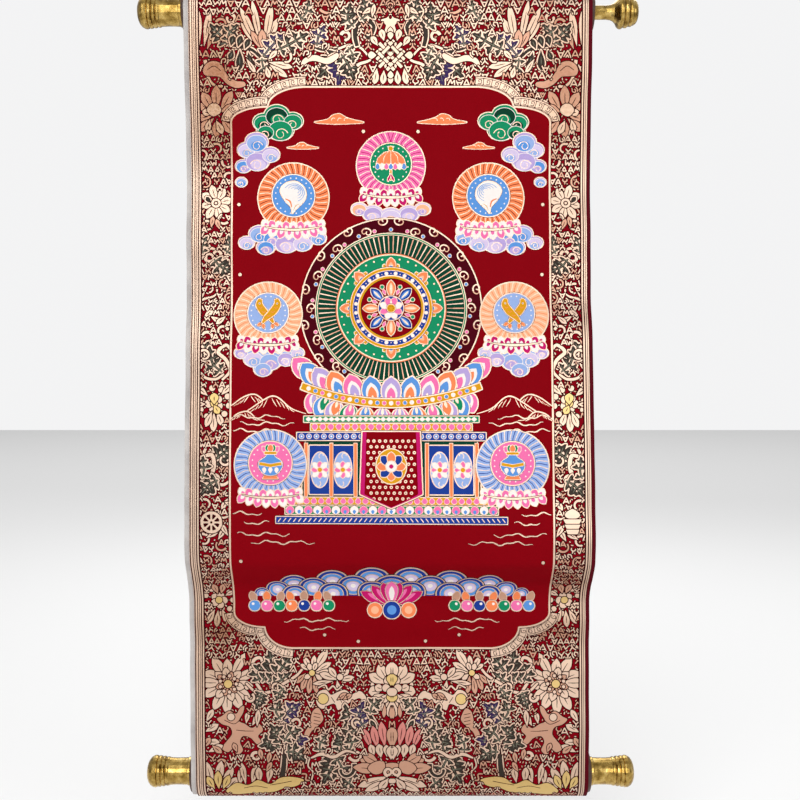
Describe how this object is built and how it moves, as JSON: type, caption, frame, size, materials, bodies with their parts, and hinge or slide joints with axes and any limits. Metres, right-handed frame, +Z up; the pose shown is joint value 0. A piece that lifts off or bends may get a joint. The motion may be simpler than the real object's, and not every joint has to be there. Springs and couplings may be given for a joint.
{
  "type": "buddhist brocade wall hanging with scroll rollers",
  "caption": "Tall woven brocade wall hanging with a pictorial centre panel, hung between round rollers with turned end knobs.",
  "frame": {"origin": "on the upper roller's axis, halfway along that roller", "axes": "+Z up along the hanging cloth, -Y out of the cloth's front, +X to the right as seen from the front"},
  "size_m": [0.4456, 0.074, 0.728],
  "materials": {
    "brocade": "satin",
    "lining": "matt",
    "rod_wood": "stained",
    "knob_brass": "polished"
  },
  "bodies": {
    "root": {"brocade": "brocade", "lining": "lining", "roller_upper": "rod_wood", "roller_lower": "rod_wood", "knob_upper_left": "knob_brass", "knob_upper_right": "knob_brass", "knob_lower_left": "knob_brass", "knob_lower_right": "knob_brass"}
  },
  "joints": []
}
